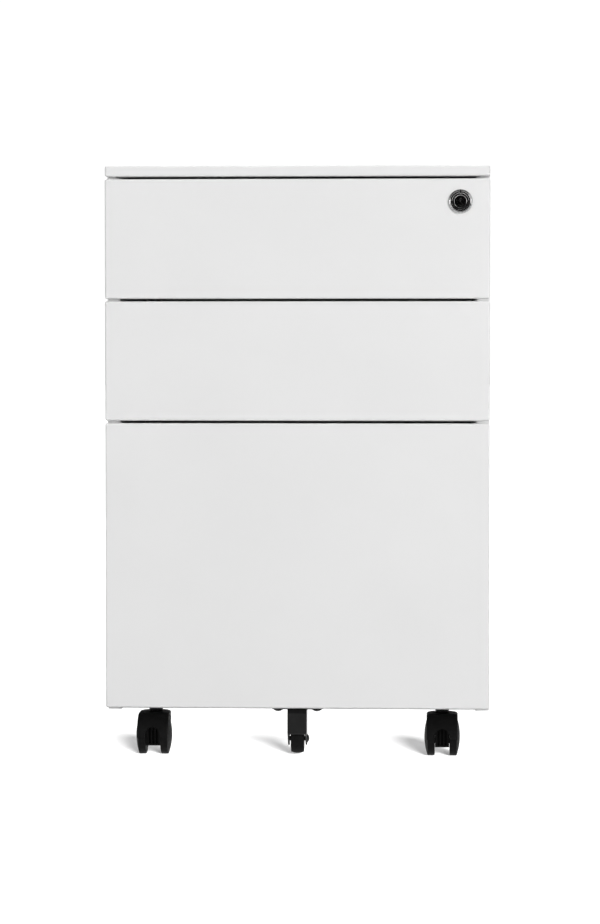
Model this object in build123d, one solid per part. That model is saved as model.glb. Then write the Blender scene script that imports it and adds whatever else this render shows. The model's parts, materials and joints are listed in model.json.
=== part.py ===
from build123d import *
import os
from math import cos, radians, sin

# Three-drawer steel filing pedestal on casters. Millimetres, +Z up. The drawer fronts face -Y.
# The origin is on the floor, under the middle of the whole object's box.

# ---- Driving sizes -------------------------------------------------------------------------
WIDTH = 390.0
HEIGHT = 600.0
DEPTH = 500.0          # drawer faces to the back
SHEET = 1.0            # thickness of the folded steel sheet
BEND = 2.0             # outside radius of its bends
LOCK_PROUD = 2.5       # how far the lock's bezel stands out of the drawer face

FACE_Y = LOCK_PROUD - (DEPTH + LOCK_PROUD) / 2
BACK_Y = FACE_Y + DEPTH
HALF = WIDTH / 2

# Lid and fronts, from the top down
LID_HEIGHT = 11.0
LID_RETURN = 10.0      # lip folded in under the lid's skirt
LID_SETBACK = 1.0
GAP = 2.5              # between the lid and the fronts, and from front to front
SMALL_FRONT = 121.0
TALL_FRONT = 290.0
LID_Z = HEIGHT - LID_HEIGHT
FRONT_TOPS = [LID_Z - GAP, LID_Z - 2 * GAP - SMALL_FRONT, LID_Z - 3 * GAP - 2 * SMALL_FRONT]
FRONT_HEIGHTS = [SMALL_FRONT, SMALL_FRONT, TALL_FRONT]
FRONT_BOTTOMS = [top - height for top, height in zip(FRONT_TOPS, FRONT_HEIGHTS)]

# Drawer fronts: an outer pan and a narrower liner behind it, which leaves finger grips at the sides
PAN_DEPTH = 8.0
FRONT_DEPTH = 22.0
GRIP_WIDTH = 14.0
LINER_HALF = HALF - GRIP_WIDTH
LINER_STEP = 0.6       # the liner is this much lower than the pan at the top and bottom
PAN_RETURN = GRIP_WIDTH + 9.0

# Cabinet shell
SHELL_FRONT = FACE_Y + FRONT_DEPTH + 1.0
SHELL_BOTTOM = 45.5
FLANGE = 14.0          # width of the side panels' front and rear flanges
LIP_DEPTH = 37.0       # the lip folded back from each front flange
INNER_HALF = HALF - SHEET
LIP_X = HALF - FLANGE  # face of the lips and posts, which carries the slides
BASE_Z = SHELL_BOTTOM + SHEET
BASE_FLANGE = 12.0
EASE = 0.4             # clearance between nested sheets

# Drawer boxes and slides
BOX_HALF = 168.0
BOX_LENGTH = 440.0
BOX_Y = FACE_Y + FRONT_DEPTH
BOX_LIFTS = [6.5, 6.5, 16.5]       # box bottom above the front's bottom edge
BOX_HEIGHTS = [76.0, 76.0, 252.0]
HEM = 6.0
SLIDE_LENGTH = 400.0
SLIDE_Y = FACE_Y + 40.0
SLIDE_LIFTS = [30.0, 30.0, 100.5]  # slide centre above the front's bottom edge
SLIDE_SHEET = 1.2
POST_Y = FACE_Y + 410.0
POST_WIDTH = 35.0
SLIDE_SCREW_R = 1.9

# Lock on the top drawer, and the bar that it lifts
LOCK_X = HALF - 30.0
LOCK_Z = FRONT_TOPS[0] - 23.2
BARREL_R = 9.5
BEZEL_R = 12.2
PLUG_R = 6.0
PLUG_HEAD_R = 8.2
RUNNING = 0.05         # radial clearance of pins and plugs that turn
BEZEL_GROOVES = [(10.3, 0.55)]  # radius and depth of the rings turned in the bezel
# the stepped keyway: middle, bottom and top of each upright slot
KEYWAY = [(0.0, 1.6, 3.6), (-0.9, 0.6, 2.4), (0.1, -1.6, 1.4)]
CRANK_R = 9.0          # lock axis to crank pin
CRANK_PIN_R = 2.5
CRANK_START = -45.0    # crank angle when unlocked; it swings up by 90 degrees to lock
BAR_Y = FACE_Y + 27.0
BAR_DEPTH = 10.0
BAR_X = LIP_X - 0.5    # outer face of the bar
TOOTH_HEIGHT = 10.0
STRIKE_LIFTS = [63.0, 63.0, 46.0]  # strikes' lower edges above the fronts' bottoms, clear of the slides
STRIKE_HEIGHT = 8.0
TOOTH_DROP = 2.0       # tooth's top below the strike when unlocked

# Twin-wheel casters
CASTER_X = 147.5
CASTER_INSET = 42.0    # from the drawer face, or from the back, to the stem
WHEEL_R = 20.0
TRAIL = 20.0           # stem to axle, along the floor
WHEEL_INNER = 7.5      # inner face of each wheel, from the caster's middle
WHEEL_OUTER = 18.2     # crown of its domed face
WHEEL_RIM = 14.8       # where the dome meets the tread
AXLE_R = 2.5
AXLE_HALF = 15.5
HOOD_HALF = 15.9
HOOD_TOP = 42.5
MOUTH_Z = 21.8         # springing height of the arched mouth
FENDER_R = 22.5
WELL_R = 20.6
STEM_R = 4.0
COLLAR_R = 7.0
# name, side, end (-1 is the front) and the direction the wheels point in, in degrees from -Y
CASTERS = [
    ("front_left", -1, -1, 0.0),
    ("front_right", 1, -1, 0.0),
    ("rear_left", -1, 1, 38.0),
    ("rear_right", 1, 1, -56.0),
]

# Anti-tip caster under the bottom drawer
TIP_WHEEL_R = 15.0
TIP_WHEEL_WIDTH = 13.0
TIP_CLEARANCE = 2.0    # its wheel hangs this far above the floor
TIP_FORK_WIDTH = 19.5
TIP_SHEET = 1.6
TIP_PLATE = 2.4        # thickness of its top plate
TIP_Y = FACE_Y + 18.5
TIP_SCREW_X = 19.8


# ---- Helpers -------------------------------------------------------------------------------
def block(x0, x1, y0, y1, z0, z1):
    """Box between two corners."""
    middle = Pos((x0 + x1) / 2, (y0 + y1) / 2, (z0 + z1) / 2)
    return middle * Box(x1 - x0, y1 - y0, z1 - z0)


def along_x(radius, x0, x1, y=0.0, z=0.0):
    """Cylinder along X."""
    return Pos((x0 + x1) / 2, y, z) * Rot(0, 90, 0) * Cylinder(radius, x1 - x0)


def along_y(radius, y0, y1, x=0.0, z=0.0):
    """Cylinder along Y."""
    return Pos(x, (y0 + y1) / 2, z) * Rot(90, 0, 0) * Cylinder(radius, y1 - y0)


def along_z(radius, z0, z1, x=0.0, y=0.0):
    """Cylinder along Z."""
    return Pos(x, y, (z0 + z1) / 2) * Cylinder(radius, z1 - z0)


def folded(points, thickness=SHEET, radius=BEND):
    """Section of a folded sheet: the points are its outer skin, with the sheet on their left."""
    skin = Wire(FilletPolyline(*points, radius=radius).edges())
    return make_face(offset(skin, amount=thickness, side=Side.LEFT, closed=True).edges())


def run_up(section, z0, z1):
    """Extrude a plan section upwards."""
    return Pos(0, 0, z0) * extrude(section, z1 - z0)


def run_back(section, y0, y1):
    """Extrude a section drawn in X and Z along Y."""
    return Pos(0, y1, 0) * Rot(90, 0, 0) * extrude(section, y1 - y0)


def tray(x_half, y0, y1, z0, z1, radius=BEND, open_side=None):
    """Hollow sheet box with rounded bends; open_side is the axis direction it opens towards."""
    outer = block(-x_half, x_half, y0, y1, z0, z1)
    outer = fillet(outer.edges(), radius)
    reach = {"front": (y0 - SHEET, y1 - SHEET), None: (y0 + SHEET, y1 - SHEET)}[open_side]
    inner = block(-x_half + SHEET, x_half - SHEET, *reach, z0 + SHEET, z1 - SHEET)
    return outer - fillet(inner.edges(), radius - SHEET)


def both_sides(shape):
    """The shape and its mirror image on the left."""
    return [shape, mirror(shape, about=Plane.YZ)]


def save(name, *solids):
    """Write one named piece, or a group of identical pieces."""
    shape = solids[0] if len(solids) == 1 else Compound(children=list(solids))
    export_step(shape, f"parts/{name}.step")


# ---- Cabinet shell -------------------------------------------------------------------------
def top_lid():
    y0 = FACE_Y + LID_SETBACK
    lid = tray(HALF, y0, BACK_Y, LID_Z, HEIGHT)
    mouth = block(
        -HALF + LID_RETURN, HALF - LID_RETURN, y0 + LID_RETURN, BACK_Y - LID_RETURN, LID_Z - 1, LID_Z + 2
    )
    return lid - mouth


def right_side_panel():
    plan = folded(
        [
            (LIP_X, SHELL_FRONT + LIP_DEPTH),
            (LIP_X, SHELL_FRONT),
            (HALF, SHELL_FRONT),
            (HALF, BACK_Y),
            (LIP_X, BACK_Y),
        ]
    )
    panel = run_up(plan, SHELL_BOTTOM, LID_Z)
    for z0 in (SHELL_BOTTOM, LID_Z - SHEET):
        flange = block(LIP_X, INNER_HALF, SHELL_FRONT + SHEET, BACK_Y - SHEET, z0, z0 + SHEET)
        panel += flange
    return panel - slide_screw_holes()


def back_panel():
    y1 = BACK_Y - SHEET
    half = INNER_HALF - BEND
    return block(-half, half, y1 - SHEET, y1, BASE_Z + SHEET, LID_Z - SHEET)


def base_panel():
    half = INNER_HALF - EASE
    y0 = SHELL_FRONT + SHEET + EASE
    y1 = BACK_Y - SHEET - EASE
    base = block(-half, half, y0, y1, BASE_Z, BASE_Z + SHEET)
    inner = LIP_X - EASE
    lip_end = SHELL_FRONT + LIP_DEPTH + EASE
    for notch in both_sides(block(inner, HALF, y0 - 1, lip_end, BASE_Z - 1, BASE_Z + 2)):
        base -= notch
    flange_top = BASE_Z + BASE_FLANGE
    base += block(-inner, inner, y0, y0 + SHEET, BASE_Z, flange_top)
    for x, y in caster_places():
        base -= along_z(STEM_R + 0.3, BASE_Z - 1, BASE_Z + 2, x, y)
    return base


def top_front_rail():
    y0 = FACE_Y + 40.0
    section = folded(
        [(y0 + 18.0, LID_Z - SHEET), (y0, LID_Z - SHEET), (y0, LID_Z - 15.0), (y0 + 10.0, LID_Z - 15.0)]
    )
    return Plane.YZ.offset(-LIP_X) * extrude(section, 2 * LIP_X)


def rear_slide_post():
    plan = folded(
        [
            (INNER_HALF, POST_Y + POST_WIDTH),
            (LIP_X, POST_Y + POST_WIDTH),
            (LIP_X, POST_Y),
            (INNER_HALF, POST_Y),
        ]
    )
    return run_up(plan, BASE_Z + SHEET, LID_Z - SHEET) - slide_screw_holes()


# ---- Caster stems and their fixings --------------------------------------------------------
def caster_places():
    """Stem centres of the four casters."""
    ends = {-1: FACE_Y + CASTER_INSET, 1: BACK_Y - CASTER_INSET}
    return [(side * CASTER_X, ends[end]) for _, side, end, _ in CASTERS]


PLATE_TOP = BASE_Z + SHEET + 3.0
NUT_HEIGHT = 6.5


def caster_plate(x, y):
    plate = block(x - 28, x + 28, y - 15, y + 15, BASE_Z + SHEET, PLATE_TOP)
    plate = fillet(plate.edges().filter_by(Axis.Z), 4)
    return plate - along_z(STEM_R + 0.3, BASE_Z, PLATE_TOP + 1, x, y)


def caster_stem(x, y):
    """Swivel pin below, collar under the base and thread above it."""
    pin = along_z(STEM_R, HOOD_TOP - 15.0, PLATE_TOP + NUT_HEIGHT + 3.0, x, y)
    collar = along_z(COLLAR_R, HOOD_TOP + 0.3, BASE_Z, x, y)
    return pin + collar


def caster_nut(x, y):
    hexagon = Pos(x, y, PLATE_TOP) * extrude(RegularPolygon(6.5, 6, major_radius=False), NUT_HEIGHT)
    return hexagon - along_z(STEM_R + 0.02, PLATE_TOP - 1, PLATE_TOP + NUT_HEIGHT + 1, x, y)


# ---- Drawer slides -------------------------------------------------------------------------
def channel(back_x, front_x, half_height, thickness, z):
    """Right-hand slide member: a C section with its web at back_x and its flanges out to front_x."""
    low, high = sorted((back_x, front_x))
    web_end = back_x - thickness if back_x > front_x else back_x + thickness
    web_low, web_high = sorted((back_x, web_end))
    solid = block(low, high, SLIDE_Y, SLIDE_Y + SLIDE_LENGTH, z - half_height, z + half_height)
    hollow_low, hollow_high = (low - 1, web_low) if back_x > front_x else (web_high, high + 1)
    hollow_z = half_height - thickness
    return solid - block(
        hollow_low, hollow_high, SLIDE_Y - 1, SLIDE_Y + SLIDE_LENGTH + 1, z - hollow_z, z + hollow_z
    )


def slide_outer(z):
    return channel(LIP_X, LIP_X - 9.0, 22.7, SLIDE_SHEET, z) - slide_screw_holes()


def slide_middle(z):
    return channel(LIP_X - 2.2, LIP_X - 10.5, 19.0, SHEET, z)


def slide_inner(z):
    return channel(BOX_HALF, BOX_HALF + 8.0, 15.6, SLIDE_SHEET, z)


def slide_screw(y, z):
    """Flat-headed screw through the outer member into the lip or post."""
    face = LIP_X - SLIDE_SHEET
    head = along_x(4.0, face - 0.8, face, y, z)
    return head + along_x(SLIDE_SCREW_R, face - 0.8, LIP_X + SHEET + 3.0, y, z)


def slide_screw_places():
    """Y and Z of every slide screw, two for each slide."""
    return [
        (y, bottom + lift)
        for bottom, lift in zip(FRONT_BOTTOMS, SLIDE_LIFTS)
        for y in (SLIDE_Y + 11.0, POST_Y + POST_WIDTH / 2)
    ]


def slide_screw_holes():
    """Cutter for the screws' holes through the outer members and what carries them."""
    reach = (LIP_X - SLIDE_SHEET - 1.0, LIP_X + SHEET + 5.0)
    return [along_x(SLIDE_SCREW_R + 0.1, *reach, y, z) for y, z in slide_screw_places()]


# ---- Drawers -------------------------------------------------------------------------------
def front_pan(n):
    z0, z1 = FRONT_BOTTOMS[n], FRONT_TOPS[n]
    pan = tray(HALF, FACE_Y, FACE_Y + PAN_DEPTH, z0, z1)
    x = HALF - PAN_RETURN
    return pan - block(-x, x, FACE_Y + PAN_DEPTH - 2, FACE_Y + PAN_DEPTH + 1, z0 + 8, z1 - 8)


def front_liner(n):
    z0, z1 = FRONT_BOTTOMS[n] + LINER_STEP, FRONT_TOPS[n] - LINER_STEP
    y0, y1 = FACE_Y + PAN_DEPTH, FACE_Y + FRONT_DEPTH
    liner = block(-LINER_HALF, LINER_HALF, y0, y1, z0, z1)
    liner = fillet(liner.edges() - liner.faces().sort_by(Axis.Y)[0].edges(), BEND)
    hollow = block(-LINER_HALF + SHEET, LINER_HALF - SHEET, y0 - 5, y1 - SHEET, z0 + SHEET, z1 - SHEET)
    return liner - fillet(hollow.edges(), BEND - SHEET)


def drawer_box(n):
    """Folded bottom and sides with hemmed tops."""
    z0 = FRONT_BOTTOMS[n] + BOX_LIFTS[n]
    z1 = z0 + BOX_HEIGHTS[n]
    section = folded(
        [
            (-BOX_HALF + HEM, z1),
            (-BOX_HALF, z1),
            (-BOX_HALF, z0),
            (BOX_HALF, z0),
            (BOX_HALF, z1),
            (BOX_HALF - HEM, z1),
        ]
    )
    return run_back(section, BOX_Y, BOX_Y + BOX_LENGTH)


def strike(n):
    """Angle welded to the right side of a drawer box, for the lock bar's tooth to catch."""
    z0 = FRONT_BOTTOMS[n] + STRIKE_LIFTS[n]
    y0 = BAR_Y + 5.0
    foot = block(BOX_HALF, BOX_HALF + 1.5, y0, y0 + 7.0, z0, z0 + STRIKE_HEIGHT)
    return foot + block(BOX_HALF, BOX_HALF + 9.0, y0, y0 + 1.5, z0, z0 + STRIKE_HEIGHT)


def box_back(n):
    z0 = FRONT_BOTTOMS[n] + BOX_LIFTS[n] + SHEET
    z1 = z0 + BOX_HEIGHTS[n] - 2 * SHEET
    y1 = BOX_Y + BOX_LENGTH
    x = BOX_HALF - SHEET
    back = block(-x, x, y1 - SHEET, y1, z0, z1)
    return fillet(back.edges().filter_by(Axis.Y), BEND - SHEET + 0.2)


def file_rail():
    """Flat bar on edge that hanging folders hook over, from the liner to the box back."""
    top = FRONT_BOTTOMS[2] + BOX_LIFTS[2] + BOX_HEIGHTS[2] - SHEET
    y1 = BOX_Y + BOX_LENGTH - SHEET
    return block(155.0, 157.0, BOX_Y, y1, top - 14.0, top)


# ---- Lock ----------------------------------------------------------------------------------
BEZEL_Y = FACE_Y - LOCK_PROUD
BARREL_END = FACE_Y + FRONT_DEPTH + 2.6
HEAD_SEAT = FACE_Y + 0.5


def lock_housing():
    """Bezel of turned rings in front of the drawer face, and the threaded barrel through the front."""
    bezel = along_y(BEZEL_R, BEZEL_Y, FACE_Y)
    bezel = fillet(bezel.edges().group_by(Axis.Y)[0], 1.4)
    for ring_r, depth in BEZEL_GROOVES:
        bezel -= Pos(0, BEZEL_Y, 0) * Rot(90, 0, 0) * Torus(ring_r, depth)
    index = block(-0.6, 0.6, BEZEL_Y - 1, BEZEL_Y + 0.9, PLUG_HEAD_R - 1, BEZEL_R + 1)
    body = bezel - index + along_y(BARREL_R, FACE_Y - 1, BARREL_END)
    # the bezel slopes in to the plug
    slope = Pos(0, BEZEL_Y + 0.3, 0) * Rot(90, 0, 0) * Cone(PLUG_HEAD_R - 0.6, PLUG_HEAD_R + 1.0, 1.6)
    body -= slope
    body -= along_y(PLUG_HEAD_R + RUNNING, BEZEL_Y - 1, HEAD_SEAT)
    body -= along_y(PLUG_R + RUNNING, BEZEL_Y, BARREL_END + 1)
    return Pos(LOCK_X, 0, LOCK_Z) * body


def lock_nut():
    y0 = FACE_Y + FRONT_DEPTH
    nut = Rot(90, 0, 0) * extrude(RegularPolygon(12.5, 6, major_radius=False), 2.4)
    nut = Pos(LOCK_X, y0 + 2.4, LOCK_Z) * nut
    return nut - along_y(BARREL_R + 0.05, y0 - 1, y0 + 4, LOCK_X, LOCK_Z)


def lock_plug():
    """Rotating plug with a stepped keyway in its head."""
    face = BEZEL_Y + 0.5
    head = along_y(PLUG_HEAD_R, face, HEAD_SEAT - 0.1)
    head = chamfer(head.edges().group_by(Axis.Y)[0], 0.4)
    dish = along_y(6.6, face - 1, face + 0.6)
    plug = head - fillet(dish.edges().group_by(Axis.Y)[-1], 0.5)
    plug += along_y(PLUG_R, HEAD_SEAT - 1, BARREL_END + 0.4)
    for x, z0, z1 in KEYWAY:
        plug -= block(x - 0.6, x + 0.6, face - 1, face + 9, z0, z1)
    return Pos(LOCK_X, 0, LOCK_Z) * plug


CAM_Y = BARREL_END + 0.4
CAM_SHEET = 1.5


def lock_cam():
    """Crank plate on the plug's end, with the pin that lifts the lock bar."""
    angle = radians(CRANK_START)
    pin_x, pin_z = CRANK_R * cos(angle), CRANK_R * sin(angle)
    hub = along_y(5.5, CAM_Y, CAM_Y + CAM_SHEET)
    tip = along_y(3.5, CAM_Y, CAM_Y + CAM_SHEET, pin_x, pin_z)
    arm = Rot(0, -CRANK_START, 0) * block(0, CRANK_R, CAM_Y, CAM_Y + CAM_SHEET, -3.5, 3.5)
    pin = along_y(CRANK_PIN_R, CAM_Y, BAR_Y + 4.0, pin_x, pin_z)
    return Pos(LOCK_X, 0, LOCK_Z) * (hub + tip + arm + pin - along_y(1.6, CAM_Y - 1, CAM_Y + 2))


def lock_cam_screw():
    y0 = CAM_Y + CAM_SHEET
    return along_y(3.0, y0, y0 + 1.6, LOCK_X, LOCK_Z) + along_y(1.5, CAM_Y, y0 + 0.5, LOCK_X, LOCK_Z)


def lock_bar():
    """Strip beside the drawers, teeth welded on it that hold them, and a notched plate for the crank pin."""
    strike_zs = [bottom + lift for bottom, lift in zip(FRONT_BOTTOMS, STRIKE_LIFTS)]
    pin_z = LOCK_Z + CRANK_R * sin(radians(CRANK_START))
    top = pin_z + 8.0
    strip_x = BAR_X - SHEET
    strip = block(strip_x, BAR_X, BAR_Y, BAR_Y + BAR_DEPTH, min(strike_zs) - 16.0, top)
    tooth_tops = [z - TOOTH_DROP for z in strike_zs]
    teeth = [block(BAR_X - 9.5, strip_x, BAR_Y, BAR_Y + 3.0, z - TOOTH_HEIGHT, z) for z in tooth_tops]
    plate = block(BAR_X - 11.0, strip_x, BAR_Y, BAR_Y + SHEET, top - 16.0, top)
    play = CRANK_PIN_R + 0.5
    notch = block(BAR_X - 12.0, BAR_X - 3.0, BAR_Y - 1, BAR_Y + 2, pin_z - play, pin_z + play)
    return [strip, *teeth, plate - notch]


GUIDE_ZS = [118.0, 300.0, 445.0]   # between the teeth and clear of the slides


def lock_bar_guide(z):
    """Staple round the lock bar, fixed to the lip."""
    x0 = LIP_X - 3.0
    y0, y1 = BAR_Y - 1.8, BAR_Y + BAR_DEPTH + 1.8
    strap = block(x0, LIP_X, y0, y1, z - 5, z + 5)
    return strap - block(x0 + 1.0, LIP_X + 1, y0 + 1.0, y1 - 1.0, z - 6, z + 6)


# ---- Twin-wheel casters, built with the stem on the Z axis and the wheels towards -Y --------
def caster_hood():
    """Fender over both wheels, rounded behind the stem, with a ribbed web between the wheels."""
    shell = along_x(FENDER_R, -HOOD_HALF, HOOD_HALF, -TRAIL, WHEEL_R)
    shell += block(-HOOD_HALF, HOOD_HALF, -TRAIL, 10.0, 22.0, HOOD_TOP)
    shell -= block(-20, 20, -TRAIL - 30, 20, -5, 18.5)
    shell -= block(-20, 20, -TRAIL, 20, 0, 22.0)
    plan = Pos(0, -33) * Rectangle(2 * HOOD_HALF, 54) + Pos(0, -6) * Circle(HOOD_HALF)
    shell &= extrude(plan, 60)
    shell = fillet([edge for edge in shell.edges() if edge.center().Z > WHEEL_R - 1], 1.5)
    # arched mouth at the front, as wide as the space between the wheels
    shell -= along_y(WHEEL_INNER, -TRAIL - 30, -TRAIL, 0, MOUTH_Z)
    shell -= block(-WHEEL_INNER, WHEEL_INNER, -TRAIL - 30, -TRAIL, 0, MOUTH_Z)
    shell -= along_x(WELL_R, -20, 20, -TRAIL, WHEEL_R)
    # lip that closes the space behind the wheels
    shell += block(-9.0, 9.0, 0.8, 3.0, 9.4, 23.0)
    front, rear = -TRAIL - 13.0, 6.0
    outline = Polyline(
        (front, 28.0),
        (front + 3.0, 9.4),
        (-TRAIL + 9.0, 9.4),
        (0.0, 20.0),
        (rear, 22.0),
        (rear, HOOD_TOP - 1),
        (-TRAIL, HOOD_TOP - 1),
        (front, HOOD_TOP - 8),
        close=True,
    )
    web_half = WHEEL_INNER - 0.25
    web = Plane.YZ.offset(-web_half) * extrude(make_face(outline.edges()), 2 * web_half)
    for x in (-3.6, 0.0, 3.6):
        web -= block(x - 1.2, x + 1.2, front - 1, front + 6.0, 11.0, 31.0)
    hood = shell + web
    hood -= along_z(STEM_R + RUNNING, HOOD_TOP - 15.4, HOOD_TOP + 1)
    return hood - along_x(AXLE_R + 0.02, -20, 20, -TRAIL, WHEEL_R)


def caster_axle():
    return along_x(AXLE_R, -AXLE_HALF, AXLE_HALF, -TRAIL, WHEEL_R)


def caster_wheel(side):
    """Wheel with a rounded tread and a domed outer face; its bore is blind."""
    rise = WHEEL_OUTER - WHEEL_RIM
    dome_r = (WHEEL_R**2 + rise**2) / (2 * rise)
    blank = along_z(WHEEL_R, WHEEL_INNER, WHEEL_OUTER + 1)
    blank &= Pos(0, 0, WHEEL_OUTER - dome_r) * Sphere(dome_r)
    rims = blank.edges().filter_by(GeomType.CIRCLE).group_by(Axis.Z)
    wheel = fillet(rims[0] + rims[-1], 1.3)
    wheel -= along_z(AXLE_R + RUNNING, WHEEL_INNER - 1, AXLE_HALF + 0.3)
    return Pos(0, -TRAIL, WHEEL_R) * Rot(0, 90 * side, 0) * wheel


def placed(shape, caster):
    """Put a caster piece at its place on the cabinet."""
    _, side, end, heading = caster
    y = FACE_Y + CASTER_INSET if end < 0 else BACK_Y - CASTER_INSET
    return Pos(side * CASTER_X, y, 0) * Rot(0, 0, heading) * shape


# ---- Anti-tip caster -----------------------------------------------------------------------
TIP_TOP = FRONT_BOTTOMS[2] + LINER_STEP
TIP_AXLE_Z = TIP_CLEARANCE + TIP_WHEEL_R
TIP_FRONT = TIP_Y - TIP_WHEEL_R - 0.8 - TIP_SHEET


def top_front_edge(box):
    return box.edges().filter_by(Axis.X).group_by(Axis.Z)[-1].sort_by(Axis.Y)[0]


def anti_tip_bracket():
    """Top plate with a bent front web and two cheeks that hold the wheel."""
    half = TIP_FORK_WIDTH / 2
    plate_y0 = FACE_Y + PAN_DEPTH + 0.5
    plate_y1 = FACE_Y + FRONT_DEPTH - 1.5
    plate = block(-26.0, 26.0, plate_y0, plate_y1, TIP_TOP - TIP_PLATE, TIP_TOP)
    plate = fillet(plate.edges().filter_by(Axis.Z), 5)
    rear = SHELL_FRONT
    outside = block(-half, half, TIP_FRONT, rear, 10.5, TIP_TOP - LINER_STEP)
    outside = chamfer(top_front_edge(outside), 5, 3)
    inside = block(
        -half + TIP_SHEET, half - TIP_SHEET, TIP_FRONT + TIP_SHEET, rear + 1, 0, TIP_TOP - TIP_SHEET - 0.6
    )
    inside = chamfer(top_front_edge(inside), 5, 3)
    fork = outside - inside
    # the web stops above the axle, and the cheeks taper to a rounded end
    fork -= block(-half + TIP_SHEET, half - TIP_SHEET, TIP_FRONT - 1, TIP_FRONT + 3, 0, 22.0)
    cheek = Polyline(
        (TIP_FRONT, TIP_TOP),
        (TIP_FRONT, 24.0),
        (TIP_Y - 5.5, 13.0),
        (TIP_Y - 2.5, 10.5),
        (TIP_Y + 2.5, 10.5),
        (TIP_Y + 5.0, 14.0),
        (rear, 26.0),
        (rear, TIP_TOP),
        close=True,
    )
    fork &= Plane.YZ.offset(-half) * extrude(make_face(cheek.edges()), TIP_FORK_WIDTH)
    bracket = fork + plate
    bracket -= along_x(AXLE_R + 0.02, -half - 1, half + 1, TIP_Y, TIP_AXLE_Z)
    for x in (-TIP_SCREW_X, TIP_SCREW_X):
        bracket -= along_z(2.6, TIP_TOP - 4, TIP_TOP + 1, x, TIP_SCREW_Y)
    return bracket


TIP_SCREW_Y = FACE_Y + 14.5


def dome(radius, height):
    """Domed screw head with its flat on z = 0, domed downwards."""
    sphere_r = (radius**2 + height**2) / (2 * height)
    ball = Pos(0, 0, sphere_r - height) * Sphere(sphere_r)
    return ball & along_z(radius + 1, -height - 1, 0)


def anti_tip_screw(x):
    head = Pos(x, TIP_SCREW_Y, TIP_TOP - TIP_PLATE) * dome(5.5, 2.6)
    return head + along_z(2.4, TIP_TOP - TIP_PLATE - 1, TIP_TOP + 8.0, x, TIP_SCREW_Y)


def anti_tip_axle():
    """Rivet with a domed head on the right cheek, riveted flush on the left."""
    half = TIP_FORK_WIDTH / 2
    head = Pos(half, TIP_Y, TIP_AXLE_Z) * Rot(0, -90, 0) * dome(4.6, 2.2)
    return along_x(AXLE_R, -half - 0.3, half, TIP_Y, TIP_AXLE_Z) + head


def anti_tip_wheel():
    half = TIP_WHEEL_WIDTH / 2
    bore = AXLE_R + RUNNING
    outline = Curve() + [
        Polyline((TIP_WHEEL_R - 1.3, half), (bore, half), (bore, -half), (TIP_WHEEL_R - 1.3, -half)),
        ThreePointArc((TIP_WHEEL_R - 1.3, -half), (TIP_WHEEL_R, 0), (TIP_WHEEL_R - 1.3, half)),
    ]
    wheel = revolve(make_face(outline.edges()), Axis.Y, 360)
    return Pos(0, TIP_Y, TIP_AXLE_Z) * Rot(0, 0, -90) * wheel


# ---- Write every piece ---------------------------------------------------------------------
os.makedirs("parts", exist_ok=True)

save("top_lid", top_lid())
right_panel = right_side_panel()
save("right_side_panel", right_panel)
save("left_side_panel", mirror(right_panel, about=Plane.YZ))
save("back_panel", back_panel())
save("base_panel", base_panel())
save("top_front_rail", top_front_rail())
save("rear_slide_posts", *both_sides(rear_slide_post()))
save("caster_plates", *[caster_plate(x, y) for x, y in caster_places()])
save("caster_stems", *[caster_stem(x, y) for x, y in caster_places()])
save("caster_stem_nuts", *[caster_nut(x, y) for x, y in caster_places()])
save("lock_bar_guides", *[lock_bar_guide(z) for z in GUIDE_ZS])
save("lock_bar", *lock_bar())

for n in range(3):
    drawer = f"drawer_{n + 1}"
    slide_z = FRONT_BOTTOMS[n] + SLIDE_LIFTS[n]
    pan = front_pan(n)
    liner = front_liner(n)
    if n == 0:
        hole = along_y(BARREL_R + 0.1, FACE_Y - 1, FACE_Y + FRONT_DEPTH + 1, LOCK_X, LOCK_Z)
        pan -= hole
        liner -= hole
    if n == 2:
        for x in (-TIP_SCREW_X, TIP_SCREW_X):
            liner -= along_z(2.6, TIP_TOP - 1, TIP_TOP + 2, x, TIP_SCREW_Y)
    save(f"{drawer}_front", pan)
    save(f"{drawer}_front_liner", liner)
    save(f"{drawer}_box", drawer_box(n), strike(n))
    save(f"{drawer}_box_back", box_back(n))
    save(f"{drawer}_slide_outer", *both_sides(slide_outer(slide_z)))
    save(f"{drawer}_slide_middle", *both_sides(slide_middle(slide_z)))
    save(f"{drawer}_slide_inner", *both_sides(slide_inner(slide_z)))
right_screws = [slide_screw(y, z) for y, z in slide_screw_places()]
save("slide_screws", *[screw for right in right_screws for screw in both_sides(right)])
save("drawer_3_file_rails", *both_sides(file_rail()))

save("lock_housing", lock_housing())
save("lock_nut", lock_nut())
save("lock_plug", lock_plug())
save("lock_cam", lock_cam())
save("lock_cam_screw", lock_cam_screw())

save("anti_tip_bracket", anti_tip_bracket())
save("anti_tip_screws", *[anti_tip_screw(x) for x in (-TIP_SCREW_X, TIP_SCREW_X)])
save("anti_tip_axle", anti_tip_axle())
save("anti_tip_wheel", anti_tip_wheel())

for caster in CASTERS:
    name = caster[0]
    save(f"caster_{name}_hood", placed(caster_hood(), caster))
    save(f"caster_{name}_axle", placed(caster_axle(), caster))
    save(f"caster_{name}_wheel_left", placed(caster_wheel(-1), caster))
    save(f"caster_{name}_wheel_right", placed(caster_wheel(1), caster))
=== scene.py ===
import json
import math

import bpy
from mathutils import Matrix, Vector

SCENE = bpy.context.scene
WHITE = (1.0, 1.0, 1.0, 1.0)

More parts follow.
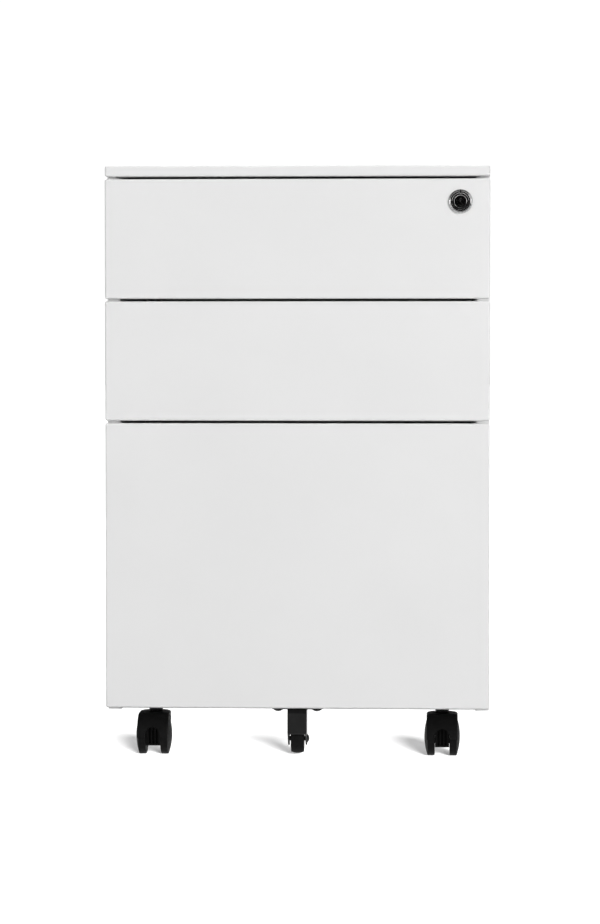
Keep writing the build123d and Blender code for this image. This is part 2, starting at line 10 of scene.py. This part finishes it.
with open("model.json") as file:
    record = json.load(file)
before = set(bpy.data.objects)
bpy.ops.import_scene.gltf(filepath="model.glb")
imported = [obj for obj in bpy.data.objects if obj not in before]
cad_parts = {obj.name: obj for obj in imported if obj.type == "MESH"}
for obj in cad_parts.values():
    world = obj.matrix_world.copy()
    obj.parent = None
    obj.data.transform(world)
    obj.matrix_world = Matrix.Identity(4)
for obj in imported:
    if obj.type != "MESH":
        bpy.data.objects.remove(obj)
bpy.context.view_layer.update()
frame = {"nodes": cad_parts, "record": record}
NODES = frame["nodes"]
SLOTS = {part["node"]: part["material_slot"] for part in frame["record"]["subparts"]}


# ---- Materials -----------------------------------------------------------------------------
class Shader:
    """A node material with one Principled shader, worked in object coordinates in metres."""

    def __init__(self, name):
        self.material = bpy.data.materials.new(name)
        self.material.use_nodes = True
        self.nodes = self.material.node_tree.nodes
        self.links = self.material.node_tree.links
        self.shader = self.nodes["Principled BSDF"]
        self.coords = self.nodes.new("ShaderNodeTexCoord").outputs["Object"]

    def set(self, **values):
        """Constants on the shader's own sockets, named with underscores for spaces."""
        for name, value in values.items():
            self.shader.inputs[name.replace("_", " ")].default_value = value
        return self

    def stretched(self, scale):
        """Coordinates scaled along each axis, so that what is made on them is drawn out."""
        mapping = self.nodes.new("ShaderNodeMapping")
        mapping.inputs["Scale"].default_value = scale
        self.links.new(self.coords, mapping.inputs["Vector"])
        return mapping.outputs["Vector"]

    def noise(self, size, detail=3.0, roughness=0.5, vector=None):
        """Noise whose features are about this many metres across."""
        node = self.nodes.new("ShaderNodeTexNoise")
        node.inputs["Scale"].default_value = 1.0 / size
        node.inputs["Detail"].default_value = detail
        node.inputs["Roughness"].default_value = roughness
        self.links.new(vector or self.coords, node.inputs["Vector"])
        return node.outputs["Fac"]

    def cells(self, size):
        """A random colour for each cell about this many metres across."""
        node = self.nodes.new("ShaderNodeTexVoronoi")
        node.inputs["Scale"].default_value = 1.0 / size
        self.links.new(self.coords, node.inputs["Vector"])
        return node.outputs["Color"]

    def ranged(self, value, low, high, at=(0.3, 0.7)):
        """The value's range at[0] to at[1], which noise mostly keeps to, carried to low to high."""
        node = self.nodes.new("ShaderNodeMapRange")
        node.inputs["From Min"].default_value, node.inputs["From Max"].default_value = at
        node.inputs["To Min"].default_value, node.inputs["To Max"].default_value = low, high
        self.links.new(value, node.inputs["Value"])
        return node.outputs["Result"]

    def colour(self, value, stops):
        """Base colour from a ramp: stops are (place, colour)."""
        ramp = self.nodes.new("ShaderNodeValToRGB")
        elements = ramp.color_ramp.elements
        while len(elements) < len(stops):
            elements.new(0.5)
        for element, (place, rgb) in zip(elements, stops):
            element.position = place
            element.color = (*rgb, 1.0)
        self.links.new(value, ramp.inputs["Fac"])
        self.links.new(ramp.outputs["Color"], self.shader.inputs["Base Color"])
        return self

    def roughness(self, value, low, high):
        self.links.new(self.ranged(value, low, high), self.shader.inputs["Roughness"])
        return self

    def bump(self, *layers):
        """Bump from (height, depth in metres) layers, one on top of another."""
        normal = None
        for height, depth in layers:
            node = self.nodes.new("ShaderNodeBump")
            node.inputs["Strength"].default_value = 1.0
            node.inputs["Distance"].default_value = depth
            self.links.new(height, node.inputs["Height"])
            if normal:
                self.links.new(normal, node.inputs["Normal"])
            normal = node.outputs["Normal"]
        self.links.new(normal, self.shader.inputs["Normal"])
        return self


def grey(level, warmth=0.0):
    return (level * (1 + warmth), level, level * (1 - warmth))


def powder_coat():
    """Fine matt white powder coat: a shallow orange peel under a finer grain."""
    m = Shader("white_powder_coat")
    m.set(Specular_IOR_Level=0.42)
    m.colour(m.noise(0.11, 2.0), [(0.35, grey(0.79)), (0.65, grey(0.805))])
    m.roughness(m.noise(0.02, 4.0), 0.47, 0.56)
    return m.bump((m.noise(0.0016, 2.0), 0.00003), (m.noise(0.0005, 1.0), 0.000012)).material


def chrome():
    """Dark chrome plate on the lock: turning marks stretch the highlights across its rings."""
    m = Shader("chrome_plate").set(Metallic=1.0, Anisotropic=0.3)
    tangent = m.nodes.new("ShaderNodeTangent")
    tangent.direction_type = "RADIAL"
    tangent.axis = "Y"
    m.links.new(tangent.outputs["Tangent"], m.shader.inputs["Tangent"])
    m.colour(m.noise(0.0022, 3.0), [(0.3, grey(0.20)), (0.7, grey(0.42))])
    m.roughness(m.noise(0.0012, 4.0), 0.07, 0.14)
    return m.bump((m.noise(0.0024, 2.0), 0.00011)).material


def zinc():
    """Slides, rails and lock bar: zinc plate with rolling lines along the slides and faint spangle."""
    m = Shader("zinc_plated_steel").set(Metallic=1.0)
    spangle = m.cells(0.004)
    m.colour(spangle, [(0.2, grey(0.50, -0.012)), (0.8, grey(0.53, -0.012))])
    lines = m.noise(0.0009, 4.0, 0.6, m.stretched((1.0, 0.03, 1.0)))
    m.roughness(lines, 0.26, 0.42)
    return m.bump((lines, 0.000008)).material


def turned_steel():
    """Casters' axles, plates and nuts and the lock's cam screw: plain steel with fine tool marks."""
    m = Shader("turned_steel").set(Metallic=1.0)
    m.colour(m.noise(0.003, 4.0), [(0.3, grey(0.42)), (0.7, grey(0.55))])
    m.roughness(m.noise(0.001, 3.0), 0.25, 0.38)
    return m.bump((m.noise(0.0006, 2.0, 0.5, m.stretched((1.0, 1.0, 4.0))), 0.000006)).material


def moulded_nylon():
    """Caster hoods: spark-eroded moulded texture with a dull sheen."""
    m = Shader("moulded_nylon").set(Specular_IOR_Level=0.05)
    m.colour(m.noise(0.012, 3.0), [(0.3, grey(0.004)), (0.7, grey(0.007))])
    m.roughness(m.noise(0.0016, 3.0), 0.42, 0.54)
    return m.bump((m.noise(0.0005, 2.0), 0.00002)).material


def wheel_rubber():
    """Wheels of the casters and of the anti-tip bracket, a little duller than the hoods."""
    m = Shader("wheel_polyurethane").set(Specular_IOR_Level=0.05)
    m.colour(m.noise(0.01, 3.0), [(0.3, grey(0.004)), (0.7, grey(0.007))])
    m.roughness(m.noise(0.003, 4.0), 0.50, 0.66)
    return m.bump((m.noise(0.0007, 3.0), 0.000014)).material


def black_coat():
    """Anti-tip bracket, its screws and rivet, and the casters' stems: satin black coat on steel."""
    m = Shader("black_coated_steel").set(Specular_IOR_Level=0.14)
    m.colour(m.noise(0.008, 3.0), [(0.3, grey(0.004)), (0.7, grey(0.007))])
    m.roughness(m.noise(0.002, 4.0), 0.30, 0.42)
    return m.bump((m.noise(0.0009, 2.0), 0.00002)).material


MATERIALS = {
    "white_paint": powder_coat(),
    "chrome_lock": chrome(),
    "zinc_steel": zinc(),
    "bright_steel": turned_steel(),
    "black_nylon": moulded_nylon(),
    "black_wheel": wheel_rubber(),
    "black_steel": black_coat(),
}
for name, node in NODES.items():
    node.data.materials.clear()
    node.data.materials.append(MATERIALS[SLOTS[name]])


# ---- Floor, light and camera ---------------------------------------------------------------
MIDDLE = Vector((0, 0, 0.3))
CASTER_NAMES = ("caster_front", "caster_rear", "anti_tip")


def paper_floor():
    """White paper that glows a little, so that shadows on it stay pale."""
    m = Shader("pale_floor").set(Roughness=0.9, Specular_IOR_Level=0.0)
    m.set(Emission_Color=WHITE, Emission_Strength=0.27)
    m.colour(m.noise(0.4, 2.0), [(0.3, grey(0.80)), (0.7, grey(0.81))])
    return m.material


def floor():
    """Floor plane, which throws no light up into the gaps and under the edges."""
    mesh = bpy.data.meshes.new("floor")
    reach = 30.0
    corners = [(-reach, -reach, 0), (reach, -reach, 0), (reach, reach, 0), (-reach, reach, 0)]
    mesh.from_pydata(corners, [], [(0, 1, 2, 3)])
    mesh.materials.append(paper_floor())
    plane = bpy.data.objects.new("floor", mesh)
    SCENE.collection.objects.link(plane)
    plane.visible_diffuse = False
    return plane


def softbox(name, at, size, power):
    """Rectangular area light aimed at the middle of the object, unseen by the camera."""
    data = bpy.data.lights.new(name, "AREA")
    data.shape = "RECTANGLE"
    data.size, data.size_y = size
    data.energy = power
    lamp = bpy.data.objects.new(name, data)
    lamp.location = at
    lamp.rotation_euler = (MIDDLE - Vector(at)).to_track_quat("-Z", "Y").to_euler()
    lamp.visible_camera = False
    SCENE.collection.objects.link(lamp)
    return lamp


def dark_card(centre, size):
    """Black card that only shiny surfaces see, so that chrome has something dark to reflect."""
    bpy.ops.mesh.primitive_plane_add(size=1.0, location=centre)
    card = bpy.context.object
    card.name = "card_front"
    card.scale = (*size, 1.0)
    aim = Vector((0, 0, 0.4)) - Vector(centre)
    card.rotation_euler = aim.to_track_quat("Z", "Y").to_euler()
    black = Shader("black_card").set(Roughness=1.0, Specular_IOR_Level=0.0)
    black.set(Base_Color=(*grey(0.01), 1.0))
    card.data.materials.append(black.material)
    card.visible_camera = card.visible_diffuse = card.visible_shadow = False


def group(name, objects):
    """Collection for light linking, not part of the scene itself."""
    collection = bpy.data.collections.new(name)
    for each in objects:
        collection.objects.link(each)
    return collection


def white_world():
    """White behind the object, and a dimmer even light on it."""
    world = bpy.data.worlds.new("studio")
    world.use_nodes = True
    nodes, links = world.node_tree.nodes, world.node_tree.links
    background = nodes["Background"]
    background.inputs["Color"].default_value = WHITE
    path = nodes.new("ShaderNodeLightPath")
    level = nodes.new("ShaderNodeMapRange")
    on_object, seen = 0.26, 1.05
    level.inputs["To Min"].default_value, level.inputs["To Max"].default_value = on_object, seen
    links.new(path.outputs["Is Camera Ray"], level.inputs["Value"])
    links.new(level.outputs["Result"], background.inputs["Strength"])
    SCENE.world = world


def floor_light(plane):
    """Low sun for the floor alone, which only the casters shade."""
    data = bpy.data.lights.new("floor_light", "SUN")
    data.energy = 14.0
    data.angle = math.radians(17)
    low = bpy.data.objects.new("floor_light", data)
    low.rotation_euler = Vector((-0.30, 1.0, -0.27)).to_track_quat("-Z", "Y").to_euler()
    SCENE.collection.objects.link(low)
    casters = [node for name, node in NODES.items() if name.startswith(CASTER_NAMES)]
    low.light_linking.receiver_collection = group("lit_floor", [plane])
    low.light_linking.blocker_collection = group("floor_shaders", casters)


def studio(plane):
    """Large lights to the right and left of the camera, and one above for the object alone."""
    white_world()
    SCENE.view_settings.view_transform = "Standard"
    softbox("key", at=(2.1, -3.0, 1.35), size=(1.5, 2.0), power=44)
    softbox("fill", at=(-2.2, -3.0, 0.7), size=(1.9, 1.0), power=38)
    above = softbox("above", at=(0, 0.3, 2.6), size=(1.6, 1.6), power=26)
    above.light_linking.receiver_collection = group("object", NODES.values())
    dark_card(centre=(0.1, -5.0, 1.2), size=(3.0, 2.4))
    floor_light(plane)


def camera():
    """Long lens a little to the right of the middle and above it, looking slightly down."""
    data = bpy.data.cameras.new("camera")
    data.lens = 115.6
    data.sensor_width = 36.0
    data.clip_end = 100.0
    cam = bpy.data.objects.new("camera", data)
    cam.location = (0.1464, -3.2488, 0.4155)
    down, left = 2.195, 2.733
    cam.rotation_euler = (math.radians(90 - down), 0, math.radians(left))
    SCENE.collection.objects.link(cam)
    SCENE.camera = cam


studio(floor())
camera()
